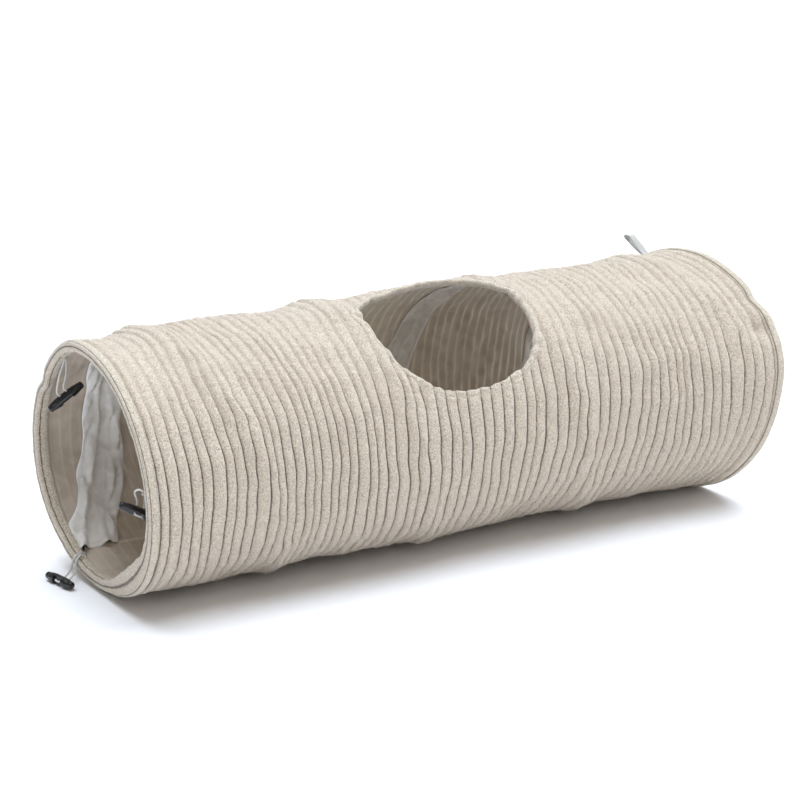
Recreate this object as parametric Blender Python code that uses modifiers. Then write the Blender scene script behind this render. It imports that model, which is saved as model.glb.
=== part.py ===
"""Pop-up tunnel for cats: a wide-wale corduroy cover on one spring-steel helix.

The tunnel lies along X and rests on z = 0. Its near mouth, at -X, carries three
toggles on elastic cords. Its far mouth, at +X, carries three ribbon loops, which
take the toggles when the tunnel is pressed flat. An oval peephole faces up and
to the front (-Y). Angles round the tunnel run from the top towards the front.
"""

import math

import bmesh
import bpy
from mathutils import Matrix, Vector

# Overall size, in metres
tunnel_length = 0.800
tunnel_radius = 0.150
touch_gap = 0.0003
cut_overrun = 0.030
merge_distance = 0.00001

# Facets round the tunnel, with a flat one at the bottom
sides = 30
step = math.tau / sides

# Corduroy cover
wale_count = 57
wale_height = 0.0020
cover_backing = 0.0012
ridge_height = 0.0040
ridge_spread = 0.0130

# Lining
lining_thickness = 0.0010

# Spring wire: end turn, ramp, even helix, ramp, end turn, counted in facets
wire_diameter = 0.0022
first_facet = -45
ramp_facets = 8
helix_facets = 102

# The first free turn, which leaves the near hem early and then runs level
lead_reach = 0.042
lead_in_facets = (31, 37)
lead_out_facets = (37, 45)

# Casing sewn over the wire
casing_thickness = 0.0008
casing_width = 0.026
casing_crown_width = 0.0020
casing_foot_width = 0.0068
casing_least_flange = 0.0020

# Clips that join the wire's ends to its own end turns
clip_wall = 0.0008
clip_web = 0.0004
clip_length = 0.016
wire_tail = 0.0020
clip_bore_sides = 12

# Hems at the two mouths
hem_width = 0.013
hem_depth = 0.014
hem_end_wall = 0.0030
hem_roundness = 0.0035
hem_round_steps = 3

# Peephole and its rolled hem
peephole_x = 0.0215
peephole_turn = math.radians(33)
peephole_half_length = 0.0955
peephole_half_width = 0.0760
peephole_squareness = 2.3
peephole_points = 48
peephole_hem_radius = 0.0031

# Toggles
toggle_length = 0.048
toggle_radius = 0.0058
toggle_end_radius = 0.0028
toggle_shoulder_radius = 0.0043
toggle_chamfer = 0.0016
toggle_barrel_length = 0.017
toggle_sides = 12
toggle_hole_spacing = 0.0090
toggle_hole_clearance = 0.0004
toggle_notch_depth = 0.0038
toggle_notch_length = 0.0150
toggle_hang = 0.050

# Elastic cord through each toggle
cord_diameter = 0.0022
bridge_clearance = 0.0004
cord_pair_spacing = 0.0034
cord_tip_share = 0.30
cord_point_spacing = 0.0050

# Ribbon loops at the far mouth
loop_height = 0.034
loop_ribbon_width = 0.010
loop_ribbon_thickness = 0.0009
loop_root_radius = 0.0014
loop_crown_radius = 0.0050
loop_arc_points = 7

# Where the toggles and loops are sewn on, as facets from the top to the front
sewn_facets = (-3, 7, -13)

# Sizes that follow from those above
axis_height = tunnel_radius * math.cos(step / 2)
half_length = tunnel_length / 2
hem_mouth_x = half_length - hem_width
hem_inner_radius = tunnel_radius - hem_depth
body_half_length = hem_mouth_x - touch_gap
wale_pitch = 2 * body_half_length / wale_count
crest_radius = tunnel_radius - touch_gap - ridge_height
groove_radius = crest_radius - wale_height
cover_inner_radius = groove_radius - cover_backing
lining_outer_radius = cover_inner_radius - touch_gap
lining_inner_radius = lining_outer_radius - lining_thickness
wire_radius = wire_diameter / 2
wire_path_radius = lining_inner_radius - touch_gap - wire_radius
clip_bore_radius = (wire_radius + touch_gap) / math.cos(math.pi / clip_bore_sides)
clip_half_height = clip_bore_radius + clip_wall
hem_channel_half = clip_half_height + touch_gap
wire_end_pitch = 2 * clip_bore_radius + clip_web
wire_end_x = half_length - hem_end_wall - touch_gap - clip_half_height
facet_count = 2 * sides + 1 + 2 * ramp_facets + helix_facets
end_rise = wire_end_pitch / sides
helix_rise = (2 * wire_end_x - (2 * sides + 1 + ramp_facets) * end_rise) / (
    ramp_facets + helix_facets
)
sewn_x = half_length - hem_width / 2
hole_radius = cord_diameter / 2 + toggle_hole_clearance
facet_depth = math.cos(step / 2)


def srgb(red, green, blue):
    """Turn an 8-bit display colour into the linear one a shader takes."""
    def linear(value):
        value /= 255
        return value / 12.92 if value <= 0.04045 else ((value + 0.055) / 1.055) ** 2.4
    return (linear(red), linear(green), linear(blue), 1.0)


looks = {
    "corduroy": (srgb(213, 204, 190), 0.95, 0.0),
    "corduroy_hem": (srgb(205, 196, 181), 0.95, 0.0),
    "lining": (srgb(160, 153, 144), 0.80, 0.0),
    "casing": (srgb(188, 187, 184), 0.75, 0.0),
    "spring_steel": (srgb(150, 152, 155), 0.35, 1.0),
    "clip_steel": (srgb(120, 122, 126), 0.40, 1.0),
    "toggle_plastic": (srgb(26, 25, 27), 0.18, 0.0),
    "elastic_cord": (srgb(228, 226, 221), 0.85, 0.0),
    "ribbon": (srgb(208, 208, 206), 0.70, 0.0),
}


def empty_the_file():
    for thing in list(bpy.data.objects):
        bpy.data.objects.remove(thing, do_unlink=True)


def new_collection(name):
    group = bpy.data.collections.new(name)
    bpy.context.scene.collection.children.link(group)
    return group


def get_material(kind):
    if kind in bpy.data.materials:
        return bpy.data.materials[kind]
    colour, roughness, metallic = looks[kind]
    material = bpy.data.materials.new(kind)
    material.use_nodes = True
    shader = material.node_tree.nodes["Principled BSDF"]
    shader.inputs["Base Color"].default_value = colour
    shader.inputs["Roughness"].default_value = roughness
    shader.inputs["Metallic"].default_value = metallic
    material.diffuse_color = colour
    return material


empty_the_file()
parts = new_collection("cat_tunnel")
cutters = new_collection("cutters")


def add_part(name, data, kind, parent=None, matrix=None):
    """Put a mesh or a curve in the tunnel, placed by its own matrix in world space."""
    data.materials.clear()
    data.materials.append(get_material(kind))
    part = bpy.data.objects.new(name, data)
    parts.objects.link(part)
    place = matrix or Matrix.Identity(4)
    if parent:
        part.parent = parent
        place = parent.matrix_world.inverted() @ place
    part.matrix_basis = place
    return part


def add_pivot(name, matrix, parent=None):
    pivot = bpy.data.objects.new(name, None)
    parts.objects.link(pivot)
    pivot.parent = parent
    pivot.matrix_basis = parent.matrix_world.inverted() @ matrix if parent else matrix
    bpy.context.view_layer.update()
    return pivot


def hide_as_cutter(thing):
    thing.hide_render = True
    thing.display_type = "WIRE"


def cut(part, cutter):
    boolean = part.modifiers.new(cutter.name, "BOOLEAN")
    boolean.operation = "DIFFERENCE"
    boolean.solver = "EXACT"
    boolean.object = cutter


def smooth(mesh, degrees):
    mesh.shade_smooth()
    mesh.set_sharp_from_angle(angle=math.radians(degrees))


def on_tunnel(x, radius, turn):
    """The point at x, at a radius from the tunnel's axis and a turn from its top."""
    return Vector((x, -radius * math.sin(turn), axis_height + radius * math.cos(turn)))


def outward(turn):
    return Vector((0, -math.sin(turn), math.cos(turn)))


def frame_at(origin, x_axis, y_axis, z_axis):
    turned = Matrix((x_axis, y_axis, z_axis)).transposed().to_4x4()
    return Matrix.Translation(origin) @ turned


def mesh_from_rings(name, rings, ends_meet):
    """Join rings of equal count, each to the next, into one closed body."""
    mesh = bpy.data.meshes.new(name)
    form = bmesh.new()
    rows = [[form.verts.new(point) for point in ring] for ring in rings]
    pairs = list(zip(rows, rows[1:]))
    if ends_meet:
        pairs.append((rows[-1], rows[0]))
    count = len(rows[0])
    for row, following in pairs:
        for k in range(count):
            after = (k + 1) % count
            form.faces.new((row[k], row[after], following[after], following[k]))
    if not ends_meet:
        form.faces.new(rows[0])
        form.faces.new(rows[-1])
    bmesh.ops.recalc_face_normals(form, faces=form.faces)
    form.to_mesh(mesh)
    form.free()
    return mesh


def turned(name, outline, kind, matrix, steps, parent=None):
    """Turn a closed outline of (radius, height) about Z with a Screw modifier."""
    mesh = bpy.data.meshes.new(name)
    points = [(radius, 0, height) for radius, height in outline]
    edges = [(k, (k + 1) % len(points)) for k in range(len(points))]
    mesh.from_pydata(points, edges, [])
    part = add_part(name, mesh, kind, parent, matrix)
    screw = part.modifiers.new("turned", "SCREW")
    screw.axis = "Z"
    screw.angle = math.tau
    screw.steps = steps
    screw.render_steps = steps
    screw.use_merge_vertices = True
    screw.merge_threshold = merge_distance
    screw.use_smooth_shade = True
    return part


def tube(name, points, radius, kind, resolution, parent=None, cyclic=False, ends=1.0):
    """A round tube through points in world space; ends narrows its two tips."""
    curve = bpy.data.curves.new(name, "CURVE")
    curve.dimensions = "3D"
    curve.bevel_depth = radius
    curve.bevel_resolution = resolution
    curve.use_fill_caps = not cyclic
    origin = parent.matrix_world.translation if parent else Vector()
    spline = curve.splines.new("POLY")
    spline.points.add(len(points) - 1)
    for spot, point in zip(spline.points, points):
        spot.co = (*(point - origin), 1)
    spline.use_cyclic_u = cyclic
    if not cyclic:
        spline.points[0].radius = ends
        spline.points[-1].radius = ends
    spline.use_smooth = True
    return add_part(name, curve, kind, parent, Matrix.Translation(origin))


def flat_shape(name, outlines, thickness, kind, matrix, parent=None):
    """Closed flat outlines, holes included, thickened evenly about their plane."""
    curve = bpy.data.curves.new(name, "CURVE")
    curve.dimensions = "2D"
    curve.fill_mode = "BOTH"
    curve.extrude = thickness / 2
    for outline in outlines:
        spline = curve.splines.new("POLY")
        spline.points.add(len(outline) - 1)
        for spot, (x, y) in zip(spline.points, outline):
            spot.co = (x, y, 0, 1)
        spline.use_cyclic_u = True
    return add_part(name, curve, kind, parent, matrix)


# Spring wire
def even_wire_x(facet):
    """How far along X an even coil is, at a count of facets from its near end."""
    ramp_start = sides + 0.5
    ramp_end = ramp_start + ramp_facets
    if facet <= ramp_start:
        return -wire_end_x + facet * end_rise
    along = min(facet, ramp_end) - ramp_start
    x = -wire_end_x + ramp_start * end_rise
    x += along * end_rise + along**2 / (2 * ramp_facets) * (helix_rise - end_rise)
    return x + max(0, facet - ramp_end) * helix_rise


def eased(value, start, end):
    """0 up to start and 1 from end on, with a smooth step between."""
    share = min(max((value - start) / (end - start), 0), 1)
    return share * share * (3 - 2 * share)


def wire_x(facet):
    """How far along X the wire is, at a count of facets from its near clip."""
    if facet > facet_count / 2:
        return -even_wire_x(facet_count - facet)
    lead = eased(facet, *lead_in_facets) * (1 - eased(facet, *lead_out_facets))
    return even_wire_x(facet) + lead_reach * lead


def wire_turn(facet):
    return (first_facet + facet) * step


def wire_corner(k):
    """The wire's corner number k, which lies on an edge between two facets."""
    return on_tunnel(wire_x(k + 0.5), wire_path_radius, wire_turn(k + 0.5))


def wire_points():
    corners = [wire_corner(k) for k in range(facet_count)]
    tail = clip_length / 2 + wire_tail
    before = wire_corner(-1)
    near_tip = (before + corners[0]) / 2
    near_tip -= (corners[0] - before).normalized() * tail
    after = wire_corner(facet_count)
    far_tip = (after + corners[-1]) / 2
    far_tip += (after - corners[-1]).normalized() * tail
    return [near_tip, *corners, far_tip]


def least_self_gap(points):
    """The least clear distance between stretches of the wire a half turn apart."""
    samples = []
    for start, end in zip(points, points[1:]):
        samples += [start.lerp(end, share) for share in (0, 0.25, 0.5, 0.75)]
    apart = 2 * sides
    least = tunnel_length
    for k, point in enumerate(samples):
        for other in samples[k + apart :]:
            least = min(least, (other - point).length)
    return least - wire_diameter


wire_route = wire_points()
spring_wire = tube("spring_wire", wire_route, wire_radius, "spring_steel", 1)
print(f"spring wire, least gap to itself: {least_self_gap(wire_route) * 1000:.2f} mm")


# Peephole
def peephole_outline(margin):
    """The peephole's rounded oval, grown by a margin, as (along X, across) pairs."""
    outline = []
    power = 2 / peephole_squareness
    for k in range(peephole_points):
        angle = math.tau * k / peephole_points
        along = math.copysign(abs(math.cos(angle)) ** power, math.cos(angle))
        across = math.copysign(abs(math.sin(angle)) ** power, math.sin(angle))
        outline.append(
            (along * (peephole_half_length + margin), across * (peephole_half_width + margin))
        )
    return outline


peephole_frame = frame_at(
    on_tunnel(peephole_x, 0, 0),
    Vector((1, 0, 0)),
    outward(peephole_turn).cross(Vector((1, 0, 0))),
    outward(peephole_turn),
)


def peephole_cutter():
    margin = 2 * peephole_hem_radius + touch_gap
    rings = []
    for height in (hem_inner_radius / 2, tunnel_radius + cut_overrun):
        outline = peephole_outline(margin)
        rings.append([peephole_frame @ Vector((x, y, height)) for x, y in outline])
    cutter = bpy.data.objects.new("peephole_cutter", mesh_from_rings("peephole_cutter", rings, False))
    cutters.objects.link(cutter)
    hide_as_cutter(cutter)
    return cutter


def peephole_hem():
    radius = (crest_radius + lining_inner_radius) / 2
    route = []
    for x, y in peephole_outline(peephole_hem_radius):
        height = math.sqrt(radius**2 - y**2)
        route.append(peephole_frame @ Vector((x, y, height)))
    tube("peephole_hem", route, peephole_hem_radius, "corduroy_hem", 2, cyclic=True)


hole = peephole_cutter()
peephole_hem()


# Corduroy cover
def crossings(column):
    """Where the wire crosses one edge line of the tunnel."""
    return [
        wire_x(k + 0.5) for k in range(facet_count) if (first_facet + k - column) % sides == 0
    ]


def ridge(x, wire_places):
    """How far the turns of wire near x lift the cover."""
    flat = 1.0
    for place in wire_places:
        flat *= 1 - math.exp(-(((x - place) / ridge_spread) ** 2))
    return ridge_height * (1 - flat)


def make_cover():
    edge_lines = [crossings(column) for column in range(sides)]
    rings = []
    for k in range(2 * wale_count + 1):
        x = -body_half_length + k * wale_pitch / 2
        base = crest_radius if k % 2 else groove_radius
        rings.append(
            [
                on_tunnel(x, base + ridge(x, edge_lines[c]), (c + 0.5) * step)
                for c in range(sides)
            ]
        )
    for x in (body_half_length, -body_half_length):
        rings.append([on_tunnel(x, cover_inner_radius, (c + 0.5) * step) for c in range(sides)])
    mesh = mesh_from_rings("cover", rings, True)
    smooth(mesh, 25)
    cut(add_part("cover", mesh, "corduroy"), hole)


make_cover()


# Mouth hems, lining and wire clips
def along_tunnel(x, direction):
    """A frame whose Z runs along the tunnel and whose facets match the cover's."""
    return (
        Matrix.Translation((x, 0, axis_height))
        @ Matrix.Rotation(direction * math.pi / 2, 4, "Y")
        @ Matrix.Rotation(step / 2, 4, "Z")
    )


def arc(centre_a, centre_b, radius, start, end, steps):
    return [
        (centre_a + radius * math.cos(angle), centre_b + radius * math.sin(angle))
        for angle in (start + (end - start) * k / steps for k in range(steps + 1))
    ]


def hem_outline():
    """A channel that opens towards the cover and holds the wire's end turn."""
    quarter = math.pi / 2
    outer = tunnel_radius - hem_roundness
    inner = hem_inner_radius + hem_roundness
    height = hem_width - hem_roundness
    floor = hem_width - hem_end_wall
    return [
        (wire_path_radius - hem_channel_half, 0),
        (wire_path_radius - hem_channel_half, floor),
        (wire_path_radius + hem_channel_half, floor),
        (wire_path_radius + hem_channel_half, 0),
        (tunnel_radius, 0),
        *arc(outer, height, hem_roundness, 0, quarter, hem_round_steps),
        *arc(inner, height, hem_roundness, quarter, 2 * quarter, hem_round_steps),
        (hem_inner_radius, 0),
    ][::-1]


far_end = add_pivot("far_end", Matrix.Translation((half_length, 0, axis_height)))
turned("near_hem", hem_outline(), "corduroy_hem", along_tunnel(-hem_mouth_x, -1), sides)
turned("far_hem", hem_outline(), "corduroy_hem", along_tunnel(hem_mouth_x, 1), sides, far_end)

lining_outline = [
    (lining_outer_radius, 2 * body_half_length),
    (lining_outer_radius, 0),
    (lining_inner_radius, 0),
    (lining_inner_radius, 2 * body_half_length),
]
lining = turned("lining", lining_outline, "lining", along_tunnel(-body_half_length, 1), sides)
cut(lining, hole)


def clip_outlines():
    half_pitch = wire_end_pitch / 2
    quarter = math.pi / 2
    turns = clip_bore_sides // 2
    shell = arc(half_pitch, 0, clip_half_height, -quarter, quarter, turns)
    shell += arc(-half_pitch, 0, clip_half_height, quarter, 3 * quarter, turns)
    bores = [
        arc(side * half_pitch, 0, clip_bore_radius, 0, math.tau, clip_bore_sides)[:-1]
        for side in (-1, 1)
    ]
    return [shell, *bores]


def make_clip(name, end, parent=None):
    facet = 0 if end < 0 else facet_count
    turn = wire_turn(facet)
    x = end * (wire_end_x - wire_end_pitch / 2)
    centre = on_tunnel(x, wire_path_radius * facet_depth, turn)
    along_x = Vector((1, 0, 0))
    up = outward(turn)
    place = frame_at(centre, along_x, up, along_x.cross(up))
    flat_shape(name, clip_outlines(), clip_length, "clip_steel", place, parent)


make_clip("near_wire_clip", -1)
make_clip("far_wire_clip", 1, far_end)


# Casing over the wire, on the inner side of the lining
def casing_section(x, turn):
    """A flat strip with a crown over the wire, cut short where a hem is close."""
    crown = casing_crown_width / 2
    foot = casing_foot_width / 2
    room = body_half_length - touch_gap
    left = min(casing_width / 2, x + room)
    right = min(casing_width / 2, room - x)
    flange_radius = lining_inner_radius - touch_gap
    crown_radius = wire_path_radius - wire_radius - touch_gap
    spread = casing_thickness / 2
    outer = [
        (-left, flange_radius),
        (-foot, flange_radius),
        (-crown, crown_radius),
        (crown, crown_radius),
        (foot, flange_radius),
        (right, flange_radius),
    ]
    inner = [
        (-left, flange_radius - casing_thickness),
        (-foot - spread, flange_radius - casing_thickness),
        (-crown - spread, crown_radius - casing_thickness),
        (crown + spread, crown_radius - casing_thickness),
        (foot + spread, flange_radius - casing_thickness),
        (right, flange_radius - casing_thickness),
    ]
    return [on_tunnel(x + offset, radius, turn) for offset, radius in outer + inner[::-1]]


def make_casing():
    reach = body_half_length - touch_gap - casing_foot_width / 2 - casing_least_flange
    covered = [k + 0.5 for k in range(facet_count) if abs(wire_x(k + 0.5)) <= reach]
    rings = [casing_section(wire_x(facet), wire_turn(facet)) for facet in covered]
    mesh = mesh_from_rings("wire_casing", rings, False)
    smooth(mesh, 35)
    cut(add_part("wire_casing", mesh, "casing"), hole)


make_casing()


# Toggles
def toggle_mesh():
    """A barrel with two cord holes and a notch for the cord's bridge, long way on X."""
    half = toggle_length / 2
    barrel = toggle_barrel_length / 2
    outline = [
        (0, half),
        (toggle_end_radius, half),
        (toggle_shoulder_radius, half - toggle_chamfer),
        (toggle_radius, barrel),
        (toggle_radius, -barrel),
        (toggle_shoulder_radius, toggle_chamfer - half),
        (toggle_end_radius, -half),
        (0, -half),
    ]
    mesh = bpy.data.meshes.new("toggle_outline")
    mesh.from_pydata(
        [(radius, 0, height) for radius, height in outline],
        [(k, k + 1) for k in range(len(outline) - 1)],
        [],
    )
    blank = add_part("toggle_blank", mesh, "toggle_plastic", None, Matrix.Rotation(math.pi / 2, 4, "Y"))
    screw = blank.modifiers.new("turned", "SCREW")
    screw.axis = "Z"
    screw.steps = toggle_sides
    screw.render_steps = toggle_sides
    screw.use_merge_vertices = True
    screw.merge_threshold = merge_distance
    tools = []
    bpy.ops.mesh.primitive_cube_add(size=1)
    notch = bpy.context.object
    notch.name = "toggle_notch"
    notch.scale = (toggle_notch_length, 2 * toggle_radius + cut_overrun, 2 * toggle_notch_depth)
    notch.location = (0, 0, -toggle_radius)
    tools.append(notch)
    for side in (-1, 1):
        bpy.ops.mesh.primitive_cylinder_add(
            vertices=toggle_sides,
            radius=hole_radius,
            depth=2 * toggle_radius + cut_overrun,
            location=(side * toggle_hole_spacing / 2, 0, 0),
        )
        tools.append(bpy.context.object)
    for tool in tools:
        for group in list(tool.users_collection):
            group.objects.unlink(tool)
        cutters.objects.link(tool)
        hide_as_cutter(tool)
        cut(blank, tool)
    bpy.context.view_layer.update()
    evaluated = blank.evaluated_get(bpy.context.evaluated_depsgraph_get())
    shape = bpy.data.meshes.new_from_object(evaluated)
    shape.name = "toggle"
    shape.transform(blank.matrix_world)
    smooth(shape, 40)
    for thing in [blank, *tools]:
        bpy.data.objects.remove(thing, do_unlink=True)
    return shape


def smooth_route(points):
    """A smooth curve through the points, read off at even steps."""
    padded = [2 * points[0] - points[1], *points, 2 * points[-1] - points[-2]]
    route = [points[0]]
    for a, b, c, d in zip(padded, padded[1:], padded[2:], padded[3:]):
        knots = [0.0]
        for start, end in ((a, b), (b, c), (c, d)):
            knots.append(knots[-1] + math.sqrt((end - start).length))
        pieces = max(1, math.ceil((c - b).length / cord_point_spacing))
        for piece in range(1, pieces + 1):
            t = knots[1] + (knots[2] - knots[1]) * piece / pieces
            first = a.lerp(b, (t - knots[0]) / (knots[1] - knots[0]))
            second = b.lerp(c, (t - knots[1]) / (knots[2] - knots[1]))
            third = c.lerp(d, (t - knots[2]) / (knots[3] - knots[2]))
            low = first.lerp(second, (t - knots[0]) / (knots[2] - knots[0]))
            high = second.lerp(third, (t - knots[1]) / (knots[3] - knots[1]))
            route.append(low.lerp(high, (t - knots[1]) / (knots[2] - knots[1])))
    return route


def route_length(points):
    return sum((end - start).length for start, end in zip(points, points[1:]))


# The cord inside a toggle, from the first hole to the middle of its bridge
notch_floor = toggle_notch_depth - toggle_radius
bridge_height = notch_floor - cord_diameter / 2 - bridge_clearance
hole_place = toggle_hole_spacing / 2
corner_reach = hole_radius * math.sqrt(0.5)
toggle_entry = toggle_radius + 2 * cord_diameter
inside_route = [
    (-hole_place, toggle_entry),
    (-hole_place, toggle_radius),
    (-hole_place, 0),
    (-hole_place, notch_floor),
    (-hole_place + hole_radius - corner_reach, notch_floor - corner_reach),
    (-hole_place + hole_radius, bridge_height),
    (0, bridge_height),
]

# How each toggle lies: its centre and the points that its two strands pass, as shares
# of the toggles' hang from the place where the cord is sewn, its long way and the way
# its cord leaves it
toggle_lie_shares = (
    {
        "rests": False,
        "centre": (0.00, 0.08, -1.03),
        "long_way": (0.777, -0.214, 0.590),
        "cord_way": (-0.400, -0.050, 0.800),
        "strands": (
            ((-0.05, -0.02, -0.19), (-0.17, 0.03, -0.59)),
            ((0.02, 0.01, -0.17), (0.00, 0.01, -0.49)),
        ),
    },
    {
        "rests": False,
        "centre": (0.00, 0.30, -0.53),
        "long_way": (0.850, -0.050, -0.500),
        "cord_way": (0.300, 0.350, 0.600),
        "strands": (
            ((-0.02, 0.14, 0.04), (-0.06, 0.32, -0.07)),
            ((0.08, 0.13, -0.05), (0.17, 0.34, -0.19)),
        ),
    },
    {
        "rests": True,
        "centre": (-0.63, -0.19, -0.39),
        "long_way": (0.262, -0.965, 0.000),
        "cord_way": (0.965, 0.262, 0.000),
        "strands": (
            ((-0.06, 0.00, 0.08), (-0.21, -0.02, -0.01), (-0.30, -0.02, -0.26)),
            ((-0.06, -0.07, 0.06), (-0.20, -0.12, -0.04), (-0.26, -0.17, -0.28)),
        ),
    },
)


def make_toggle(number, facet, lie, shape):
    turn = facet * step
    inner = on_tunnel(-sewn_x, hem_inner_radius * facet_depth - touch_gap, turn)
    hinge_way = Vector((0, math.cos(turn), math.sin(turn)))
    pivot = add_pivot(f"toggle_{number}_pivot", Matrix.Translation(inner))
    centre = inner + toggle_hang * Vector(lie["centre"])
    if lie["rests"]:
        centre.z = toggle_radius + touch_gap
    x_axis = Vector(lie["long_way"]).normalized()
    z_axis = Vector(lie["cord_way"])
    z_axis = (z_axis - z_axis.dot(x_axis) * x_axis).normalized()
    place = frame_at(centre, x_axis, z_axis.cross(x_axis), z_axis)
    add_part(f"toggle_{number}", shape, "toggle_plastic", pivot, place)

    first, second = [
        [inner + toggle_hang * Vector(shares) for shares in strand] for strand in lie["strands"]
    ]
    order = 1 if (first[0] - second[0]).dot(hinge_way) > 0 else -1
    inward = -outward(turn)
    offset = order * cord_pair_spacing / 2 * hinge_way
    half = [place @ Vector((x, 0, z)) for x, z in inside_route]
    mirrored = [place @ Vector((-x, 0, z)) for x, z in inside_route[-2::-1]]
    points = [inner + offset, inner + offset + cord_diameter * inward]
    points += first + half + mirrored + second[::-1]
    points += [inner - offset + cord_diameter * inward, inner - offset]
    route = smooth_route(points)
    tube(
        f"toggle_cord_{number}",
        route,
        cord_diameter / 2,
        "elastic_cord",
        2,
        pivot,
        ends=cord_tip_share,
    )
    print(f"toggle cord {number}: {route_length(route) * 1000:.1f} mm, {len(route)} points")


toggle_shape = toggle_mesh()
for count, (sewn, lie) in enumerate(zip(sewn_facets, toggle_lie_shares), 1):
    make_toggle(count, sewn, lie, toggle_shape)


# Ribbon loops
def teardrop(root, crown):
    """A drop of two arcs and their common tangents, with its root at the origin."""
    rise = loop_height - loop_root_radius - loop_crown_radius
    lean = math.asin((loop_crown_radius - loop_root_radius) / rise)
    lower = arc(0, 0, root, math.pi - lean, math.tau + lean, loop_arc_points)
    upper = arc(0, rise, crown, lean, math.pi - lean, loop_arc_points)
    return lower + upper


def make_loop(number, facet, side):
    """One loop on the far hem; side is 1 outside the tunnel and -1 inside its mouth."""
    turn = facet * step
    seat = tunnel_radius if side > 0 else hem_inner_radius
    distance = seat * facet_depth + side * (touch_gap + loop_root_radius)
    root = on_tunnel(sewn_x, distance, turn)
    up = side * outward(turn)
    along_x = Vector((1, 0, 0))
    place = frame_at(root, up.cross(along_x), up, along_x)
    outlines = [
        teardrop(loop_root_radius, loop_crown_radius),
        teardrop(
            loop_root_radius - loop_ribbon_thickness,
            loop_crown_radius - loop_ribbon_thickness,
        ),
    ]
    pivot = add_pivot(f"fastening_loop_{number}_pivot", Matrix.Translation(root), far_end)
    name = f"fastening_loop_{number}"
    flat_shape(name, outlines, loop_ribbon_width, "ribbon", place, pivot)
    print(f"{name}: pivot {tuple(round(value, 5) for value in root)}")


for count, (sewn, side) in enumerate(zip(sewn_facets, (1, -1, -1)), 1):
    make_loop(count, sewn, side)
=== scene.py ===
"""Looks of the cat tunnel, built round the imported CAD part.

Places on the tunnel are an x along it, a radius from its axis and a turn from its top
towards the front, in metres and radians, all on the straight tunnel. lie() turns them
into the tunnel as it stands in the photograph, with leaning mouths and slack fabric.
"""

import math

import bpy
import numpy as np
from mathutils import Matrix, Vector


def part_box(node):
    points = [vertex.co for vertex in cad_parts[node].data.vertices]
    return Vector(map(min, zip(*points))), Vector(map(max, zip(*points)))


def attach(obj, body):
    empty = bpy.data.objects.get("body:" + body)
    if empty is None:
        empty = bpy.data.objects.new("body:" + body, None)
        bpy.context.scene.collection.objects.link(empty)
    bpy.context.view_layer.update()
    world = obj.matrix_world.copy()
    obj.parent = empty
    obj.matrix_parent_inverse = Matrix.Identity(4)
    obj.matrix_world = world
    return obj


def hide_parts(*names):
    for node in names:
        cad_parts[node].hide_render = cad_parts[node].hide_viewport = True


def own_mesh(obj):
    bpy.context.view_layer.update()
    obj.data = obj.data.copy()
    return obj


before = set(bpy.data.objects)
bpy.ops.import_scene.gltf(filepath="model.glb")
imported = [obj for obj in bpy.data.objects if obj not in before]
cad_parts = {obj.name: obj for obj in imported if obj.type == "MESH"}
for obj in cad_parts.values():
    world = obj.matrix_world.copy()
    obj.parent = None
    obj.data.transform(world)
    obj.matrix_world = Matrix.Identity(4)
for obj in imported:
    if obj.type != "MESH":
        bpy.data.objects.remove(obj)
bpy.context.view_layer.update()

# Sizes read from the CAD frame
hem_low, hem_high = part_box("near_hem")
cover_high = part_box("cover")[1]
axis_height = (hem_low.z + hem_high.z) / 2
tunnel_radius = (hem_high.y - hem_low.y) / 2
half_length = -hem_low.x
hem_width = hem_high.x - hem_low.x
body_half_length = cover_high.x
hem_centre_x = half_length - hem_width / 2

# Facets of the CAD tunnel, which count the wire's turns
sides = 30
step = math.tau / sides

# Corduroy cover
wale_count = 61
wale_width_places = (-0.387, -0.200, -0.100, 0.000, 0.080, 0.200, 0.300, 0.387)
wale_width_shares = (0.88, 0.88, 1.04, 1.07, 1.00, 0.90, 0.83, 0.82)
wale_height = 0.0046
wale_roundness = 2.3
wale_fullness = 0.60
ridge_height = 0.0034
ridge_spread = 0.0130
wale_columns = 8
cover_rows_round = 560
# At the peephole a wale sinks over this distance, to a share of its height
wale_end_fade = 0.0022
wale_end_share = 0.6
# How much plumper or flatter a wale is: a share, the size of its bumps and a seed
plump_waves = ((0.08, 0.035, 21), (0.06, 0.009, 22))
# How much lighter the grooves are painted on the top: painted light, where the light from
# above falls into them
top_groove_painted_light = 0.6

# Lining and the casing over the wire
hem_depth = 0.014
lining_radius = 0.1416
lining_rib_count = 68
lining_rib_columns = 6
lining_rib_height = 0.0003
lining_rib_share = 0.13
lining_rows_round = 300
lining_held_spread = 0.028
lining_seam_turn = math.radians(-150)
lining_seam_spread = 0.008
lining_seam_depth = 0.0006
# Its wrinkles inwards: height, size and seed
lining_wrinkles = ((0.0012, 0.04, 31), (0.0006, 0.018, 33))
# Painted light: where light through the peephole is painted on it as a paler patch, and how
# far along and round
painted_light_x, painted_light_length = -0.055, 0.080
painted_light_turn, painted_light_round = math.radians(-70), 0.9
# How far from the peephole's edge the lining and the casing lie close to the cover
inner_hold = 0.03
casing_width = 0.038
casing_flange_radius = 0.1406
casing_crown_radius = 0.1379
casing_crown_spread = 0.0030
casing_thickness = 0.0008
casing_margin = 0.0050
# Its width varies differently along its two edges: how far from its middle the field of
# random widths is read for them, and that field's share, size and seed
casing_edge_reach = 0.05
casing_width_waves = (0.12, 0.09, 47)
casing_end_gap = 0.003
casing_points_across = 25
casing_rows_a_facet = 9
# Near the mouth the casing is slack: how far it slips along X, how much broader it is,
# and the middle and spread of that stretch in facets
casing_slip = 0.013
casing_slack_share = 0.40
casing_slack_facets = (34, 6)
# Its edge there stands off inwards
casing_edge_lift = 0.0007
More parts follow.
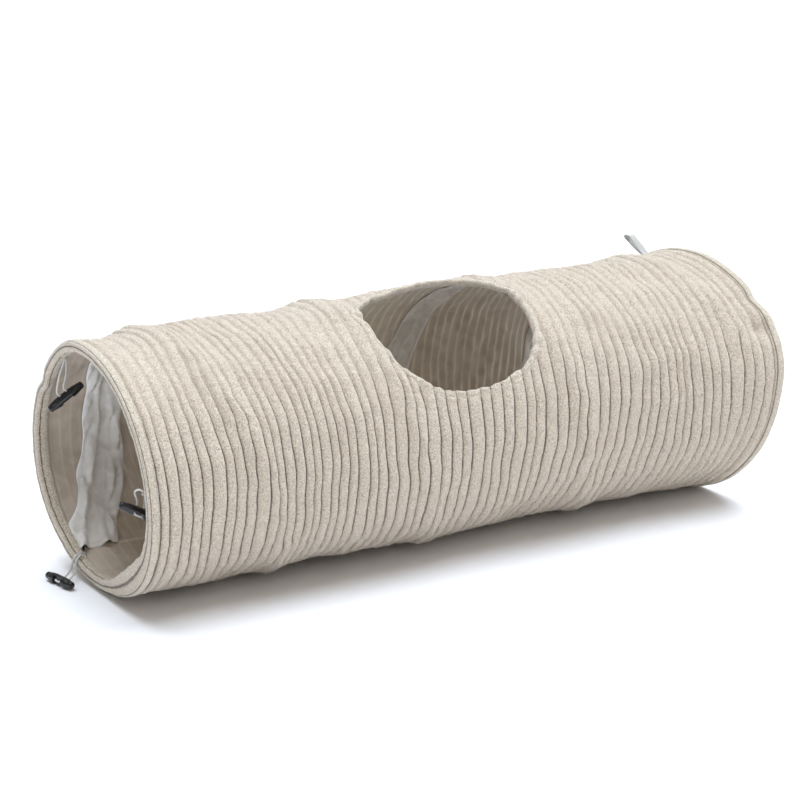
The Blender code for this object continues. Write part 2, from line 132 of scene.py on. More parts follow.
# Its crumples: height, size and seed; the broad ones run along the tunnel
casing_folds = (0.0026, 0.015, 41)
casing_wrinkles = (0.0009, 0.011, 43)
fold_stretch = (1.0, 0.45, 0.45)

# Spring wire: end turn, ramp, even helix, ramp, end turn, counted in facets
wire_diameter = 0.0022
wire_sides = 10
wire_rings_a_facet = 3
wire_path_radius = 0.1394
wire_end_x = 0.39445
wire_end_rise = 0.00011
wire_helix_rise = 0.007103
first_facet = -45
ramp_start = sides + 0.5
ramp_facets = 8
facet_count = 179
lead_reach = 0.042
lead_in_facets = (31, 37)
lead_out_facets = (37, 45)

# Peephole
peephole_x = 0.0215
peephole_turn = math.radians(33)
peephole_half_length = 0.0955
peephole_half_width = 0.0770
peephole_lower_squareness = 2.3
peephole_upper_squareness = 3.3
peephole_hem_half_width = 0.0040
peephole_hem_half_height = 0.0036
peephole_hem_radius = 0.1437

# The peephole's outline, as degrees round it and growth over the plain shape there
peephole_strays = (
    (-160, -0.050), (-140, -0.068), (-109, -0.040), (-82, -0.035), (-57, -0.030),
    (-36, 0.010), (-22, 0.015), (8, 0.000), (30, 0.020), (50, 0.040), (66, 0.040),
    (85, 0.010), (110, -0.050), (126, -0.095), (142, -0.040), (152, 0.030), (162, 0.010),
    (176, 0.000), (200, -0.050),
)

# Toggles
toggle_length = 0.048
toggle_radius = 0.0058
toggle_tip_radius = 0.00405
toggle_tip_rounding = 0.0022
toggle_tip_curve = 0.0023
toggle_barrel_length = 0.017
toggle_hole_spacing = 0.0090
toggle_hole_radius = 0.0015
toggle_notch_depth = 0.0038
toggle_notch_length = 0.0150
toggle_soft_edge = 0.0003
toggle_rings = 72
toggle_sides = 48
# The neck next to the barrel: how far past it, its depth and its spread
neck_offset, neck_depth, neck_spread = 0.0012, 0.00035, 0.0005
# The flutes round each end: their middle, spread and depth
flute_count = 12
flute_place, flute_spread, flute_depth = 0.0162, 0.0042, 0.0004

# Elastic cords
cord_diameter = 0.0022
cord_point_spacing = 0.0025

# Ribbon loops
loop_height = 0.034
loop_root_radius = 0.0014
loop_crown_radius = 0.0050
ribbon_width = 0.010
ribbon_thickness = 0.0009
ribbon_points_along = 96
ribbon_points_across = 9
ribbon_seat_depth = 0.0006
# The height of its waves, and how fast they come, in radians to a metre
ribbon_wave_height = 0.0004
ribbon_wave_rate = 260
loop_bends = (0.52, 0.15, -0.10)
loop_shifts = (0.0045, 0, 0)
touch_gap = 0.0003

# Where the loops are sewn on, as facets from the top towards the front, and on which face
# of the far hem: 1 is its outside, -1 is inside the mouth
sewn_facets = (-3, 7, -13)
sewn_faces = (1, -1, -1)

# The grooves lie a little higher than wales and ridges inside the CAD radius would put them
groove_lift = 0.0008
groove_radius = tunnel_radius - ridge_height - touch_gap - wale_height + groove_lift


def srgb(red, green, blue):
    """An 8-bit display colour as the linear one that a shader takes."""
    return (*[((v / 255 + 0.055) / 1.055) ** 2.4 for v in (red, green, blue)], 1.0)


def smoothstep(value):
    value = np.clip(value, 0, 1)
    return value * value * (3 - 2 * value)


def eased(value, start, end):
    return smoothstep((value - start) / (end - start))


def bell(value, centre, width):
    return np.exp(-(((value - centre) / width) ** 2))


def turn_bell(turn, centre, width):
    apart = (turn - centre + math.pi) % math.tau - math.pi
    return np.exp(-((apart / width) ** 2))


def waves(points, height, size, seed, count=9):
    """A smooth random field of about one height, with bumps of about one size."""
    chance = np.random.default_rng(seed)
    total = np.zeros(points.shape[:-1])
    for _ in range(count):
        way = chance.normal(size=3)
        way *= math.tau / (size * chance.uniform(0.7, 1.6) * np.linalg.norm(way))
        total += np.sin(points @ way + chance.uniform(0, math.tau))
    return height * (total * math.sqrt(2 / count))


def around(count):
    """Even angles round a closed ring."""
    return np.linspace(0, math.tau, count, endpoint=False)


def lengths_along(line):
    """How far along a line of points each one is."""
    return np.r_[0, np.cumsum(np.linalg.norm(np.diff(line, axis=0), axis=1))]


def read_off(line, gone, at):
    """The line's points at some lengths, where gone is how far along its own points are."""
    return np.stack([np.interp(at, gone, values) for values in line.T], -1)


def evenly(line, count, reach):
    """Even points along a closed flat line, the way to its right at each, and its length."""
    gone = lengths_along(line)
    even = read_off(line, gone, np.linspace(0, gone[-1], count, endpoint=False))
    ahead = np.roll(even, -reach, 0) - np.roll(even, reach, 0)
    ahead /= np.linalg.norm(ahead, axis=1)[:, None]
    return even, np.stack([ahead[:, 1], -ahead[:, 0]], -1), gone[-1]


def show(name, data):
    """A new object in the scene."""
    thing = bpy.data.objects.new(name, data)
    bpy.context.scene.collection.objects.link(thing)
    return thing


# Camera
camera_lens = 99.70
camera_place = (-1.209, -2.151, 0.9696)
camera_dip, camera_swing = math.radians(18.07), math.radians(29.06)

camera_data = bpy.data.cameras.new("camera")
camera_data.lens = camera_lens
camera = show("camera", camera_data)
camera.location = camera_place
camera.rotation_euler = (math.pi / 2 - camera_dip, 0, -camera_swing)
bpy.context.scene.camera = camera


# The straight tunnel
def straight(x, radius, turn):
    return np.stack([x + 0 * turn, -radius * np.sin(turn), radius * np.cos(turn)], -1)


def wire_x(facet):
    """How far along X the wire is, at a count of facets from its near clip."""
    from_end = np.minimum(facet, facet_count - facet)
    along = np.clip(from_end - ramp_start, 0, ramp_facets)
    x = -wire_end_x + np.minimum(from_end, ramp_start) * wire_end_rise
    x += along * wire_end_rise
    x += along**2 / (2 * ramp_facets) * (wire_helix_rise - wire_end_rise)
    x += np.maximum(from_end - ramp_start - ramp_facets, 0) * wire_helix_rise
    lead = eased(facet, *lead_in_facets) * (1 - eased(facet, *lead_out_facets))
    return np.where(facet > facet_count / 2, -x, x + lead_reach * lead)


def wire_turn(facet):
    return (first_facet + facet) * step


def ridge(x, turn, spread=ridge_spread):
    """1 over the wire, falling to 0 where the fabric spans freely."""
    phase = np.mod(turn / step - first_facet, sides)
    free = np.ones(np.broadcast(x, turn).shape)
    for lap in range(math.ceil(facet_count / sides)):
        facet = phase + lap * sides
        near = bell(x, wire_x(facet), spread) * (facet <= facet_count)
        free *= 1 - near
    return 1 - free


# The tunnel as it stands
lean_places = (-0.400, -0.280, -0.120, 0.130, 0.290, 0.400)
lean_to_the_back = (-0.045, -0.090, 0.000, 0.000, -0.060, -0.162)
lean_upwards = (-0.030, -0.068, 0.000, 0.000, 0.000, 0.055)
end_spread = 0.16
near_height_share, far_height_share = 0.978, 0.984
near_width_share, far_width_share = 1.000, 1.050
# The wales bulge towards the near mouth: how far, and where at the axis' height, with how
# much farther along the bottom does so than the axis
middle_drift = 0.015
drift_spread = 0.16
drift_place, drift_lean = 0.06, 0.09
hem_hold = 0.070
hole_hold = 0.060
held_spread = 0.022
least_sag, top_sag = 0.0010, 0.0032
# Unevenness of the whole cloth, between the wires and on them: height, size and seed
whole_waves = (0.0011, 0.17, 3)
slack_waves = (0.0008, 0.06, 5)
held_waves = (0.0005, 0.026, 6)
drift_waves = ((0.0016, 0.15, 7), (0.0004, 0.05, 9))
held_drift_waves = (0.0008, 0.034, 10)

# Where the cloth is pushed: x, turn in degrees, spread along, spread round in degrees,
# and how far inwards and along X it goes
pushes = (
    (-0.400, -38, 0.070, 22, 0.0035, 0.000),
    (-0.400, -57, 0.014, 5, 0.0055, 0.000),
    (-0.400, -115, 0.060, 45, -0.0010, -0.009),
    (-0.400, 165, 0.045, 26, 0.0080, 0.000),
    (0.400, 55, 0.070, 28, -0.0010, 0.007),
    (0.400, 41, 0.022, 5, 0.0040, -0.002),
    (0.400, 74, 0.030, 12, -0.0025, 0.000),
    (0.378, 57, 0.010, 5, 0.0050, 0.002),
    (0.345, 48, 0.014, 9, 0.0030, 0.000),
    (-0.020, 0, 0.060, 14, -0.0020, 0.000),
    (0.055, -3, 0.055, 12, -0.0040, 0.000),
    (0.140, -80, 0.170, 42, 0.0000, 0.015),
    (0.060, -40, 0.060, 22, 0.0000, 0.005),
    (-0.325, 0, 0.045, 28, 0.0000, 0.014),
    (-0.400, 5, 0.040, 25, 0.0035, 0.000),
)


def knotted(x, places, values):
    """Values at places along X, joined by smooth steps."""
    total = np.full(np.shape(x), float(values[0]))
    for a, b, start, end in zip(places, places[1:], values, values[1:]):
        total += (end - start) * smoothstep((x - a) / (b - a))
    return total


def lie(x, radius, turn):
    """Where places on the straight tunnel are in the photograph, as x, y and z."""
    x, radius, turn = np.broadcast_arrays(x, radius, turn)
    place = straight(x, tunnel_radius, turn)
    loose = smoothstep((half_length - np.abs(x)) / hem_hold)
    held = ridge(x, turn, held_spread)
    by_the_hole = smoothstep(edge_distance(x, turn, tunnel_radius, 0) / hole_hold)
    slack = loose * (1 - held) * by_the_hole

    radius = radius + waves(place, *whole_waves) + slack * waves(place, *slack_waves)
    radius -= slack * (least_sag + (top_sag - least_sag) * np.maximum(np.cos(turn), 0) ** 2)
    radius += held * loose * waves(place, *held_waves)
    drift = -middle_drift * bell(x, drift_place - drift_lean * np.cos(turn), drift_spread)
    drift += sum(waves(place, *kind) for kind in drift_waves)
    drift += held * waves(place, *held_drift_waves)
    drift = loose * drift
    for spot, degrees, along, round_degrees, inwards, ahead in pushes:
        pushed = turn_bell(turn, math.radians(degrees), math.radians(round_degrees))
        pushed *= bell(x, spot, along)
        radius = radius - inwards * pushed
        drift = drift + ahead * pushed
    x = x + drift

    back, up = -radius * np.sin(turn), radius * np.cos(turn)
    near = smoothstep((-x - half_length + end_spread) / end_spread)
    far = smoothstep((x - half_length + end_spread) / end_spread)
    leaning = knotted(x, lean_places, lean_to_the_back) * back
    leaning += knotted(x, lean_places, lean_upwards) * up
    width = 1 + near * (near_width_share - 1) + far * (far_width_share - 1)
    height = 1 + near * (near_height_share - 1) + far * (far_height_share - 1)
    z = np.maximum((axis_height + up) * height, touch_gap)
    return np.stack([x + leaning, back * width, z], -1)


def unroll(points):
    """The x, radius and turn of points on the straight tunnel."""
    back, up = points[..., 1], points[..., 2] - axis_height
    return points[..., 0], np.hypot(back, up), np.arctan2(-back, up)


# Peephole outline, in its own frame: along X and across towards the back
def peephole_size(angle, margin):
    """How far the outline, grown by a margin, is from the peephole's middle."""
    upper = np.sin(angle) > 0
    squareness = np.where(upper, peephole_upper_squareness, peephole_lower_squareness)
    shares = np.abs(np.cos(angle) / (peephole_half_length + margin)) ** squareness
    shares += np.abs(np.sin(angle) / (peephole_half_width + margin)) ** squareness
    size = shares ** (-1 / squareness)
    places, growth = zip(*peephole_strays)
    degrees = (np.degrees(angle) - places[0]) % 360 + places[0]
    return size * (1 + knotted(degrees, places, growth))


def peephole_reach(along, across, margin):
    """1 on the outline grown by a margin, less inside it and more outside."""
    return np.hypot(along, across) / peephole_size(np.arctan2(across, along), margin)


def peephole_outline(margin, count):
    """Even points on the outline, with the outward way at each."""
    angle = np.linspace(0, math.tau, 3001)
    size = peephole_size(angle, margin)
    line = np.stack([size * np.cos(angle), size * np.sin(angle)], -1)
    return evenly(line, count, 3)[:2]


def into_peephole(x, turn, radius):
    """Places in the peephole's frame, and whether they are on its side of the tunnel."""
    apart = (peephole_turn - turn + math.pi) % math.tau - math.pi
    return x - peephole_x, radius * np.sin(apart), np.abs(apart) < math.pi / 2


def from_peephole(along, across, radius):
    turn = peephole_turn - np.arcsin(np.clip(across / radius, -1, 1))
    return along + peephole_x, turn


def edge_distance(x, turn, radius, margin):
    """How far outside the peephole's grown outline places are, negative inside."""
    along, across, this_side = into_peephole(x, turn, radius)
    reach = peephole_reach(along, across, margin)
    distance = np.hypot(along, across) * (1 - 1 / np.maximum(reach, 1e-6))
    return np.where(this_side, distance, tunnel_radius)


def clear_peephole(x, turn, radius, margin):
    """Move places inside the peephole out to its outline; also says which were inside."""
    along, across, this_side = into_peephole(x, turn, radius)
    reach = peephole_reach(along, across, margin)
    inside = this_side & (reach < 1)
    grow = np.where(inside, 1 / np.maximum(reach, 1e-3), 1)
    new_x, new_turn = from_peephole(along * grow, across * grow, radius)
    return np.where(inside, new_x, x), np.where(inside, new_turn, turn), inside


# Materials
class Shading:
    """A material, and the steps that build its nodes."""

    def __init__(self, name, roughness, metallic=0.0, **sockets):
        self.material = bpy.data.materials.new(name)
        self.material.use_nodes = True
        self.tree = self.material.node_tree
        self.shader = self.tree.nodes["Principled BSDF"]
        self.shader.inputs["Roughness"].default_value = roughness
        self.shader.inputs["Metallic"].default_value = metallic
        for socket, value in sockets.items():
            self.shader.inputs[socket.replace("_", " ")].default_value = value
        self.place = self.tree.nodes.new("ShaderNodeTexCoord").outputs["Object"]

    def put(self, socket, value):
        """Link a node's output to a socket, or set it to a plain value."""
        if isinstance(value, bpy.types.NodeSocket):
            self.tree.links.new(value, socket)
        else:
            socket.default_value = value

    def add(self, kind, inputs, **settings):
        """A new node with its settings made and its inputs linked or set."""
        node = self.tree.nodes.new(f"ShaderNode{kind}")
        for name, value in settings.items():
            setattr(node, name, value)
        for name, value in inputs.items():
            self.put(node.inputs[name], value)
        return node.outputs

    def attribute(self, name):
        """A value that the mesh carries at each point."""
        return self.add("Attribute", {}, attribute_name=name)["Fac"]

    def stretched(self, *scale):
        return self.add("Mapping", {"Scale": scale, "Vector": self.place})["Vector"]

    def noise(self, size, detail=3.0, vector=None, warp=0.0):
        """A noise with features of a size in metres."""
        inputs = {"Vector": vector or self.place, "Scale": 1 / size}
        return self.add("TexNoise", {**inputs, "Detail": detail, "Distortion": warp})["Fac"]

    def weave(self, size, way):
        """Bands a size in metres apart; at a scale of 1 the node's are tau / 20 apart."""
        inputs = {"Vector": self.place, "Scale": math.tau / (20 * size)}
        inputs |= {"Distortion": 0.6, "Detail Scale": 2.0}
        return self.add("TexWave", inputs, bands_direction=way)["Fac"]

    def ramp(self, value, low, high):
        """0 where value is at most low, 1 where it is at least high."""
        inputs = {"Value": value, "From Min": low, "From Max": high}
        return self.add("MapRange", inputs, interpolation_type="SMOOTHSTEP")["Result"]

    def sum(self, *values, kind="ADD"):
        total = values[0]
        for value in values[1:]:
            total = self.add("Math", {0: total, 1: value}, operation=kind)["Value"]
        return total

    def times(self, *values):
        return self.sum(*values, kind="MULTIPLY")

    def mix(self, share, first, second):
        """The first colour where share is 0, the second where it is 1."""
        inputs = {"Factor": share, "A": first, "B": second}
        return self.add("Mix", inputs, data_type="RGBA")["Result"]

    def bump(self, height, distance, strength, normal=None):
        inputs = {"Strength": strength, "Distance": distance, "Height": height}
        if normal:
            inputs["Normal"] = normal
        return self.add("Bump", inputs)["Normal"]

    def finish(self, colour, normal=None, roughness=None):
        self.put(self.shader.inputs["Base Color"], colour)
        if normal:
            self.put(self.shader.inputs["Normal"], normal)
        if roughness:
            self.put(self.shader.inputs["Roughness"], roughness)
        return self.material


def plush(name, top, shade, groove):
    """Cut pile: tufts with dark specks between them, mottled where they lie other ways."""
    look = Shading(name, 0.95, Sheen_Weight=0.4, Sheen_Roughness=0.5, Specular_IOR_Level=0.1)
    tuft_size, clump_size, speck_size, mottle_size = 0.0018, 0.0060, 0.0012, 0.060
    tufts = look.noise(tuft_size, 4.0, warp=0.6)
    clumps = look.noise(clump_size, 3.0, warp=0.6)
    specks = look.ramp(look.noise(speck_size, 3.0), 0.36, 0.52)
    broad = look.ramp(look.noise(mottle_size, 3.0), 0.3, 0.7)
    colour = look.mix(look.ramp(tufts, 0.34, 0.60), srgb(*shade), srgb(*top))
    colour = look.mix(specks, srgb(*[v * 0.82 for v in shade]), colour)
    colour = look.mix(look.times(look.ramp(clumps, 0.4, 0.7), 0.3), colour, srgb(*shade))
    colour = look.mix(look.times(broad, 0.2), colour, srgb(*shade))
    # The grooves take a darker colour: partly the ground weave between the wales, partly
    # painted shade in the grooves
    ragged = look.sum(look.times(tufts, 0.5), look.attribute("pile"))
    colour = look.mix(look.ramp(ragged, 0.30, 0.78), srgb(*groove), colour)
    normal = look.bump(clumps, 0.0016, 0.6)
    normal = look.bump(tufts, 0.0017, 0.9, normal)
    normal = look.bump(specks, 0.0005, 0.6, normal)
    return look.finish(colour, normal)


def woven(name, colour, dark, thread, crease, sheen=0.1):
    """A plain weave of one thread size, with soft creases in height and painted shade in their
    hollows.
    """
    look = Shading(name, 0.8, Sheen_Weight=sheen, Specular_IOR_Level=0.2)
    cloth = look.sum(look.weave(thread, "X"), look.weave(thread, "Z"))
    soft = look.noise(crease, 4.0, warp=1.2)
    # Painted shade: darker where the soft creases sink
    tone = look.mix(look.ramp(soft, 0.3, 0.7), srgb(*dark), srgb(*colour))
    tone = look.mix(look.times(look.ramp(cloth, 0.4, 1.6), 0.12), tone, srgb(*dark))
    # The seam attribute pales it: for real seams, ribs and edges, and for painted light on the
    # lining and the casing
    pale_marks_and_painted_light = srgb(*[min(255, v * 1.32) for v in colour])
    tone = look.mix(look.attribute("seam"), tone, pale_marks_and_painted_light)
    normal = look.bump(soft, 0.0022, 0.35)
    normal = look.bump(cloth, 0.0002, 0.35, normal)
    return look.finish(tone, normal)


def spring_steel():
    """Bright wire with fine drawing marks."""
    look = Shading("spring_steel", 0.35, 1.0)
    mark_size = 0.0006
    drawn = look.noise(mark_size, 2.0, look.stretched(1, 6, 6))
    tone = look.mix(look.ramp(drawn, 0.3, 0.7), srgb(132, 134, 137), srgb(168, 170, 173))
    rough = look.sum(look.times(drawn, 0.2), 0.25)
    return look.finish(tone, look.bump(drawn, 0.00005, 0.3), rough)


def toggle_plastic():
    """Glossy moulded plastic with faint streaky scuffs."""
    look = Shading("toggle_plastic", 0.2, Specular_IOR_Level=0.5)
    scuff_size, dimple_size = 0.0012, 0.004
    scuff = look.ramp(look.noise(scuff_size, 5.0, look.stretched(1, 1, 3)), 0.56, 0.75)
    tone = look.mix(scuff, srgb(24, 23, 25), srgb(52, 50, 52))
    rough = look.sum(look.times(scuff, 0.25), 0.17)
    return look.finish(tone, look.bump(look.noise(dimple_size, 2.0), 0.0002, 0.3), rough)


def elastic():
    """A round braid over rubber."""
    look = Shading("elastic_cord", 0.8, Sheen_Weight=0.2)
    strand_size, turn_size = 0.0009, 0.0011
    braid = look.weave(strand_size, "DIAGONAL")
    across = look.weave(turn_size, "Z")
    strands = look.ramp(look.times(braid, across), 0.1, 0.6)
    tone = look.mix(strands, srgb(196, 194, 190), srgb(238, 237, 233))
    return look.finish(tone, look.bump(look.sum(braid, across), 0.0002, 0.6))


def ribbon_weave():
    """A grosgrain ribbon, with ribs across it and a firmer edge."""
    look = Shading("ribbon", 0.6, Sheen_Weight=0.2)
    rib = look.attribute("rib")
    edge = look.attribute("seam")
    mottle_size = 0.006
    tone = look.mix(look.ramp(rib, 0.2, 0.8), srgb(186, 186, 185), srgb(218, 218, 216))
    tone = look.mix(look.times(edge, 0.5), tone, srgb(198, 198, 197))
    tone = look.mix(look.times(look.noise(mottle_size), 0.2), tone, srgb(176, 176, 176))
    return look.finish(tone, look.bump(rib, 0.0003, 0.5))


# Tuft tops, darker tufts, and the groove colour, which holds painted shade
corduroy = plush("corduroy", (226, 213, 196), (201, 186, 168), (100, 84, 67))
hem_plush = plush("corduroy_hem", (227, 215, 199), (200, 187, 168), (94, 80, 64))
lining_cloth = woven("lining", (200, 187, 172), (181, 168, 153), 0.0009, 0.030)
casing_cloth = woven("casing", (228, 224, 218), (203, 197, 188), 0.0008, 0.022, 0.15)
steel = spring_steel()
plastic = toggle_plastic()
cord_braid = elastic()
ribbon_cloth = ribbon_weave()
thread_look = woven("thread", (205, 196, 181), (178, 168, 152), 0.0006, 0.004)


# Meshes
def grid_faces(rows, columns, rows_meet=False, columns_meet=False):
    """Quads over a grid of points, as rows of four point numbers."""
    row = np.arange(rows if rows_meet else rows - 1)[:, None]
    column = np.arange(columns if columns_meet else columns - 1)
    next_row, next_column = (row + 1) % rows * columns, (column + 1) % columns
    row = row * columns
    corners = [row + column, row + next_column, next_row + next_column, next_row + column]
    return np.stack(corners, -1).reshape(-1, 4)


def end_caps(rows, columns):
    """The two polygons that close a tube of rows of points at its ends."""
    first = np.arange(columns)
    return [first[::-1], first + (rows - 1) * columns]


def make_piece(name, points, faces, material, caps=(), **attributes):
    """A smooth piece of quads and caps; attributes have one value for each point."""
    points = np.asarray(points, float).reshape(-1, 3)
    used = np.unique(np.concatenate([faces.ravel(), *caps]))
    number = np.zeros(len(points), int)
    number[used] = np.arange(len(used))
    mesh = bpy.data.meshes.new(name)
    polygons = number[faces].tolist() + [number[cap].tolist() for cap in caps]
    mesh.from_pydata(points[used].tolist(), [], polygons)
    for key, values in attributes.items():
        layer = mesh.attributes.new(key, "FLOAT", "POINT")
        layer.data.foreach_set("value", np.ravel(values)[used].astype(np.float32))
    mesh.materials.append(material)
    mesh.shade_smooth()
    return show(name, mesh)


# Cords and toggles
toggles = (
    {
        "centre": (-0.3935, 0.08332, 0.20686),
        "long_way": (0.7779, -0.2143, 0.5907),
        "cord_way": (-0.6073, -0.0149, 0.7943),
        "cord_length": 0.1253,
        "cord": (
            (-0.3935, 0.0779, 0.2594), (-0.3935, 0.0767, 0.2576), (-0.3960, 0.0783, 0.2489),
            (-0.4020, 0.0808, 0.2289), (-0.4032, 0.0841, 0.2123), (-0.4005, 0.0842, 0.2088),
            (-0.3970, 0.0843, 0.2042), (-0.3958, 0.0843, 0.2026), (-0.3948, 0.0842, 0.2020),
            (-0.3937, 0.0840, 0.2023), (-0.3914, 0.0834, 0.2041), (-0.3890, 0.0827, 0.2059),
            (-0.3885, 0.0825, 0.2068), (-0.3888, 0.0824, 0.2079), (-0.3900, 0.0824, 0.2095),
            (-0.3935, 0.0823, 0.2141), (-0.3962, 0.0822, 0.2176), (-0.3935, 0.0798, 0.2339),
            (-0.3925, 0.0798, 0.2499), (-0.3935, 0.0794, 0.2556), (-0.3935, 0.0807, 0.2574),
        ),
    },
    {
        "centre": (-0.3935, -0.11922, 0.13678),
        "long_way": (0.8608, -0.0506, -0.5064),
        "cord_way": (0.4702, 0.4599, 0.7533),
        "cord_length": 0.1011,
        "cord": (
            (-0.3935, -0.1340, 0.1650), (-0.3935, -0.1319, 0.1647), (-0.3945, -0.1272, 0.1653),
            (-0.3965, -0.1182, 0.1598), (-0.3926, -0.1143, 0.1467), (-0.3946, -0.1163, 0.1434),
            (-0.3974, -0.1190, 0.1391), (-0.3983, -0.1199, 0.1376), (-0.3984, -0.1204, 0.1365),
            (-0.3977, -0.1207, 0.1357), (-0.3951, -0.1208, 0.1341), (-0.3926, -0.1210, 0.1326),
            (-0.3914, -0.1208, 0.1324), (-0.3906, -0.1204, 0.1330), (-0.3896, -0.1194, 0.1345),
            (-0.3869, -0.1168, 0.1389), (-0.3848, -0.1148, 0.1422), (-0.3850, -0.1172, 0.1538),
            (-0.3895, -0.1277, 0.1608), (-0.3935, -0.1322, 0.1614), (-0.3935, -0.1344, 0.1616),
        ),
    },
    {
        "centre": (-0.4250, 0.04539, 0.0061),
        "long_way": (0.2620, -0.9651, 0.0000),
        "cord_way": (0.9651, 0.2620, 0.0000),
        "cord_length": 0.1108,
        "cord": (
            (-0.3935, 0.0564, 0.0266), (-0.3935, 0.0555, 0.0286), (-0.3965, 0.0549, 0.0299),
            (-0.4040, 0.0539, 0.0254), (-0.4085, 0.0539, 0.0129), (-0.4163, 0.0524, 0.0061),
            (-0.4206, 0.0513, 0.0061), (-0.4262, 0.0497, 0.0061), (-0.4281, 0.0492, 0.0061),
            (-0.4290, 0.0485, 0.0061), (-0.4292, 0.0474, 0.0061), (-0.4284, 0.0445, 0.0061),
            (-0.4276, 0.0416, 0.0061), (-0.4269, 0.0407, 0.0061), (-0.4258, 0.0405, 0.0061),
            (-0.4238, 0.0410, 0.0061), (-0.4182, 0.0426, 0.0061), (-0.4140, 0.0437, 0.0061),
            (-0.4065, 0.0464, 0.0119), (-0.4035, 0.0489, 0.0239), (-0.3965, 0.0514, 0.0289),
            (-0.3935, 0.0524, 0.0272), (-0.3935, 0.0533, 0.0252),
        ),
    },
)


def smooth_route(points):
    """A smooth curve through the points, read off at even steps."""
    points = [Vector(point) for point in points]
    padded = [2 * points[0] - points[1], *points, 2 * points[-1] - points[-2]]
    route = [points[0]]
    for a, b, c, d in zip(padded, padded[1:], padded[2:], padded[3:]):
        knots = [0.0]
        for start, end in ((a, b), (b, c), (c, d)):
            knots.append(knots[-1] + math.sqrt((end - start).length))
        pieces = max(1, math.ceil((c - b).length / cord_point_spacing))
        for piece in range(1, pieces + 1):
            t = knots[1] + (knots[2] - knots[1]) * piece / pieces
            first = a.lerp(b, (t - knots[0]) / (knots[1] - knots[0]))
            second = b.lerp(c, (t - knots[1]) / (knots[2] - knots[1]))
            third = c.lerp(d, (t - knots[2]) / (knots[3] - knots[2]))
            low = first.lerp(second, (t - knots[0]) / (knots[2] - knots[0]))
            high = second.lerp(third, (t - knots[1]) / (knots[3] - knots[1]))
            route.append(low.lerp(high, (t - knots[1]) / (knots[2] - knots[1])))
    return route


def toggle_mesh():
    """A turned barrel with fluted ends, a notch and two cord holes, long way on X."""
    half, barrel = toggle_length / 2, toggle_barrel_length / 2
    x = half * np.sin(np.linspace(-math.pi / 2, math.pi / 2, toggle_rings))
    from_middle = np.abs(x)
    taper = smoothstep((half - from_middle) / (half - barrel))
    radius = toggle_tip_radius + (toggle_radius - toggle_tip_radius) * taper
    over_tip = np.maximum(from_middle - half + toggle_tip_rounding, 0)
    radius *= np.sqrt(np.clip(1 - (over_tip / toggle_tip_curve) ** 2, 0.02, 1))
    radius -= neck_depth * bell(from_middle, barrel + neck_offset, neck_spread)
    angle = around(toggle_sides)
    flute = bell(from_middle, flute_place, flute_spread)[:, None]
    flute = flute * (0.5 + 0.5 * np.cos(flute_count * angle))
    radius = radius[:, None] - flute_depth * flute
    x = x[:, None] + 0 * angle
    points = np.stack([x, radius * np.cos(angle), radius * np.sin(angle)], -1)
    faces = grid_faces(*x.shape, columns_meet=True)
    blank = make_piece("toggle_blank", points, faces, plastic, end_caps(*x.shape))
    tools = []
    bpy.ops.mesh.primitive_cube_add(size=1, location=(0, 0, -toggle_radius))
    tools.append(bpy.context.object)
    tools[0].scale = (toggle_notch_length, 4 * toggle_radius, 2 * toggle_notch_depth)
    for side in (-1, 1):
        bpy.ops.mesh.primitive_cylinder_add(
            vertices=24,
            radius=toggle_hole_radius,
            depth=4 * toggle_radius,
            location=(side * toggle_hole_spacing / 2, 0, 0),
        )
        tools.append(bpy.context.object)
    for tool in tools:
        cut = blank.modifiers.new(tool.name, "BOOLEAN")
        cut.operation = "DIFFERENCE"
        cut.solver = "EXACT"
        cut.object = tool
    soften = blank.modifiers.new("soft edges", "BEVEL")
    soften.width = toggle_soft_edge
    soften.segments = 2
    soften.limit_method = "ANGLE"
    soften.angle_limit = math.radians(40)
    bpy.context.view_layer.update()
    shape = bpy.data.meshes.new_from_object(
        blank.evaluated_get(bpy.context.evaluated_depsgraph_get())
    )
    for thing in [blank, *tools]:
        bpy.data.objects.remove(thing, do_unlink=True)
    shape.materials.clear()
    shape.materials.append(plastic)
    shape.shade_smooth()
    shape.set_sharp_from_angle(angle=math.radians(50))
    return shape


def make_toggle(number, facts, shape):
    """One toggle and its elastic cord, where the CAD has them."""
    long_way, cord_way = Vector(facts["long_way"]).normalized(), Vector(facts["cord_way"])
    cord_way = (cord_way - cord_way.dot(long_way) * long_way).normalized()
    turned = Matrix((long_way, cord_way.cross(long_way), cord_way)).transposed().to_4x4()
    toggle = show(f"toggle_{number}_body", shape)
    toggle.matrix_world = Matrix.Translation(facts["centre"]) @ turned
    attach(toggle, f"toggle_{number}")
    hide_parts(f"toggle_{number}")

    curve = bpy.data.curves.new(f"toggle_{number}_elastic", "CURVE")
    curve.dimensions = "3D"
    curve.bevel_depth = cord_diameter / 2
    curve.bevel_resolution = 4
    curve.use_fill_caps = True
    route = smooth_route(facts["cord"])
    spline = curve.splines.new("POLY")
    spline.points.add(len(route) - 1)
    for spot, point in zip(spline.points, route):
        spot.co = (*point, 1)
    spline.use_smooth = True
    curve.materials.append(cord_braid)
    elastic_cord = show(f"toggle_{number}_elastic", curve)
    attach(elastic_cord, f"toggle_{number}")
    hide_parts(f"toggle_cord_{number}")


toggle_shape = toggle_mesh()
for count, facts in enumerate(toggles, 1):
    make_toggle(count, facts, toggle_shape)


# Corduroy cover
def count_wales():
    """Places along the cover, and how many wales lie before each."""
    x = np.linspace(-body_half_length, body_half_length, wale_count * 40 + 1)
    number = np.cumsum(1 / knotted(x, wale_width_places, wale_width_shares))
    number = (number - number[0]) / (number[-1] - number[0]) * wale_count
    uneven = 0.08 * np.sin(1.7 * number) + 0.05 * np.sin(2.9 * number)
    return x, number + uneven * smoothstep(np.minimum(number, wale_count - number))


wale_places, wale_numbers = count_wales()


def wale_profile(x):
    """0 down in a groove and 1 on a wale's crest."""
    across = np.mod(np.interp(x, wale_places, wale_numbers), 1) * 2 - 1
    return (1 - np.abs(across) ** wale_roundness) ** wale_fullness


